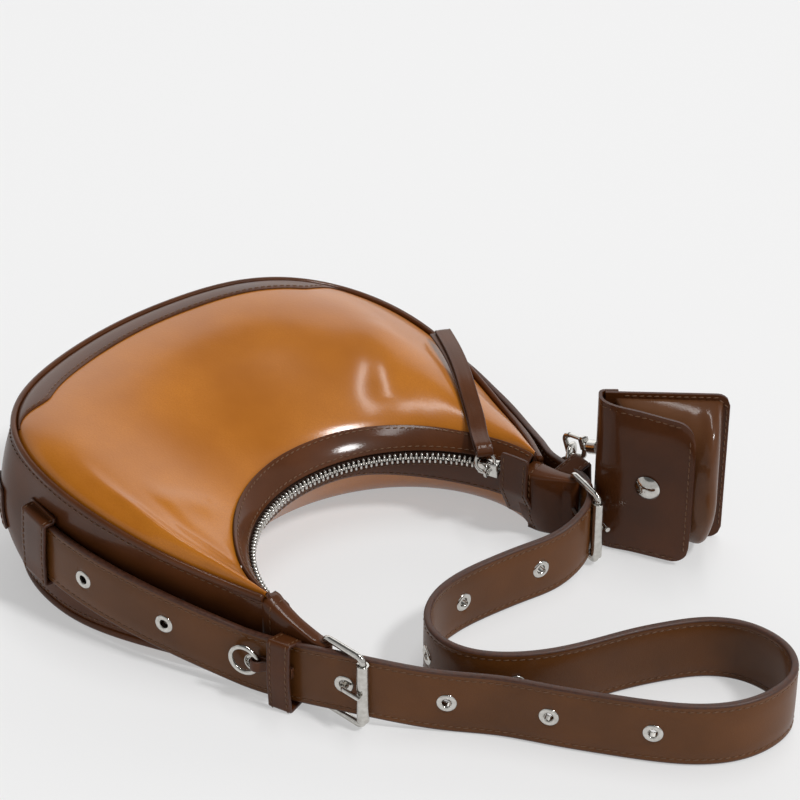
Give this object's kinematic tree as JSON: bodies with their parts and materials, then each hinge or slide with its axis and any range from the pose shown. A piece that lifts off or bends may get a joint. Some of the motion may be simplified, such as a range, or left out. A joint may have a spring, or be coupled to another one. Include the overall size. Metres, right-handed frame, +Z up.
{
  "type": "half moon shoulder bag",
  "caption": "Crescent shoulder bag on its back: zipped mouth and bottom, buckled eyelet strap looped in front, side rings and a clip-on snap pouch.",
  "frame": {"origin": "on the rest face of the back panel, midway between the horns and 140 mm in front of the centre of the mouth arc towards the rounded bottom", "axes": "+X from the left horn to the right horn, +Y to the rounded bottom, +Z up from the back panel to the front panel"},
  "size_m": [0.2681, 0.3599, 0.0772],
  "materials": {
    "tan_leather": "glossy waxed, soft folds",
    "dark_leather": "glossy smooth, dark brown",
    "lining_cloth": "plain woven",
    "zip_tape": "woven tape",
    "zip_metal": "polished nickel",
    "silver_metal": "polished nickel"
  },
  "bodies": {
    "bag": {"front_panel": "tan_leather", "front_bottom_patch": "dark_leather", "lining_front": "lining_cloth", "back_panel": "tan_leather", "lining_back": "lining_cloth", "front_seam_binding": "dark_leather", "back_seam_binding": "dark_leather", "gusset_arm_left": "dark_leather", "gusset_arm_right": "dark_leather", "gusset_front_strip": "dark_leather", "gusset_back_strip": "dark_leather", "front_mouth_band": "dark_leather", "back_mouth_band": "dark_leather", "mouth_tape_front": "zip_tape", "mouth_tape_back": "zip_tape", "mouth_teeth_front": "zip_metal", "mouth_teeth_back": "zip_metal", "mouth_zip_stops": "zip_metal", "mouth_tab_left": "dark_leather", "mouth_tab_right": "dark_leather", "bottom_teeth_front": "zip_metal", "bottom_teeth_back": "zip_metal", "bottom_zip_stops": "zip_metal", "bottom_tape_front": "zip_tape", "bottom_tape_back": "zip_tape", "bottom_end_patch_left": "dark_leather", "bottom_end_patch_right": "dark_leather", "shoulder_strap": "dark_leather", "strap_eyelets": "silver_metal", "horn_tab_left": "dark_leather", "buckle_frame_left": "silver_metal", "horn_tab_right": "dark_leather", "buckle_frame_right": "silver_metal", "horn_keeper_left": "dark_leather", "ring_tab_left": "dark_leather", "horn_keeper_right": "dark_leather", "ring_tab_right": "dark_leather", "tail_keeper_left": "dark_leather", "tail_keeper_right": "dark_leather"},
    "mouth_slider": {"mouth_slider": "silver_metal"},
    "zip_puller": {"pull_ring": "silver_metal", "leather_puller": "dark_leather"},
    "bottom_slider": {"bottom_slider": "silver_metal"},
    "bottom_pull": {"bottom_pull": "silver_metal"},
    "roller_left": {"buckle_roller_left": "silver_metal"},
    "roller_right": {"buckle_roller_right": "silver_metal"},
    "prong_left": {"buckle_prong_left": "silver_metal"},
    "prong_right": {"buckle_prong_right": "silver_metal"},
    "ring_left": {"ring_left": "silver_metal"},
    "ring_right": {"ring_right": "silver_metal"},
    "hook": {"hook_body": "silver_metal"},
    "hook_gate": {"hook_gate": "silver_metal"},
    "hook_swivel": {"hook_swivel": "silver_metal"},
    "pouch": {"pouch_back": "dark_leather", "pouch_body": "dark_leather", "pouch_tab": "dark_leather", "snap_stud": "silver_metal"},
    "pouch_flap": {"pouch_flap": "dark_leather", "snap_cap": "silver_metal"}
  },
  "joints": [
    {"name": "mouth_zip", "type": "hinge", "parent": "bag", "child": "mouth_slider", "pos_m": [0, -0.14, 0], "axis": [0, 0, 1], "range_deg": [0, 137]},
    {"name": "zip_puller_lift", "type": "hinge", "parent": "mouth_slider", "child": "zip_puller", "pos_m": [0.06314, -0.11268, 0.0335], "axis": [0.3971, -0.9178, 0], "range_deg": [0, 150.7]},
    {"name": "bottom_zip", "type": "hinge", "parent": "bag", "child": "bottom_slider", "pos_m": [0, -0.14, 0], "axis": [0, 0, 1], "range_deg": [0, 56]},
    {"name": "bottom_pull_swing", "type": "hinge", "parent": "bottom_slider", "child": "bottom_pull", "pos_m": [0.08675, 0.03787, 0.035], "axis": [0.8988, -0.4384, 0], "range_deg": [0, 100]},
    {"name": "roller_spin_left", "type": "hinge", "parent": "bag", "child": "roller_left", "pos_m": [-0.07281, -0.18403, 0.0194], "axis": [0, 0, 1], "continuous": true},
    {"name": "prong_play_left", "type": "hinge", "parent": "bag", "child": "prong_left", "pos_m": [-0.0745, -0.1621, 0.0194], "axis": [0, 0, -1], "range_deg": [0, 4]},
    {"name": "roller_spin_right", "type": "hinge", "parent": "bag", "child": "roller_right", "pos_m": [0.08307, -0.16488, 0.0194], "axis": [0, 0, 1], "continuous": true},
    {"name": "prong_play_right", "type": "hinge", "parent": "bag", "child": "prong_right", "pos_m": [0.08824, -0.1435, 0.0194], "axis": [0, 0, 1], "range_deg": [0, 4]},
    {"name": "ring_swing_left", "type": "hinge", "parent": "bag", "child": "ring_left", "pos_m": [-0.09353, -0.14069, 0.02], "axis": [0, 0, 1], "range_deg": [0, 140]},
    {"name": "ring_swing_right", "type": "hinge", "parent": "bag", "child": "ring_right", "pos_m": [0.10206, -0.12586, 0.027], "axis": [0, 0, 1], "range_deg": [0, 18]},
    {"name": "hook_lift", "type": "hinge", "parent": "ring_right", "child": "hook", "pos_m": [0.10769, -0.12281, 0.0334], "axis": [-0.8791, -0.4765, 0], "range_deg": [0, 20]},
    {"name": "gate_open", "type": "hinge", "parent": "hook", "child": "hook_gate", "pos_m": [0.10746, -0.13055, 0.04039], "axis": [-0.9996, 0.0292, 0], "range_deg": [0, 15], "stiffness_Nm_per_rad": 0.01},
    {"name": "swivel_turn", "type": "hinge", "parent": "hook", "child": "hook_swivel", "pos_m": [0.10769, -0.12281, 0.0334], "axis": [-0.0267, -0.9157, 0.401], "range_deg": [0, 40]},
    {"name": "pouch_turn", "type": "hinge", "parent": "hook_swivel", "child": "pouch", "pos_m": [0.10693, -0.14861, 0.0447], "axis": [0, 0, 1], "range_deg": [0, 20]},
    {"name": "flap_open", "type": "hinge", "parent": "pouch", "child": "pouch_flap", "pos_m": [0.10132, -0.14708, 0.0002], "axis": [0, 0, -1], "range_deg": [0, 20]}
  ],
  "couplings": [
    {"joint": "zip_puller_lift", "follows": "mouth_zip", "ratio": 1.1}
  ]
}
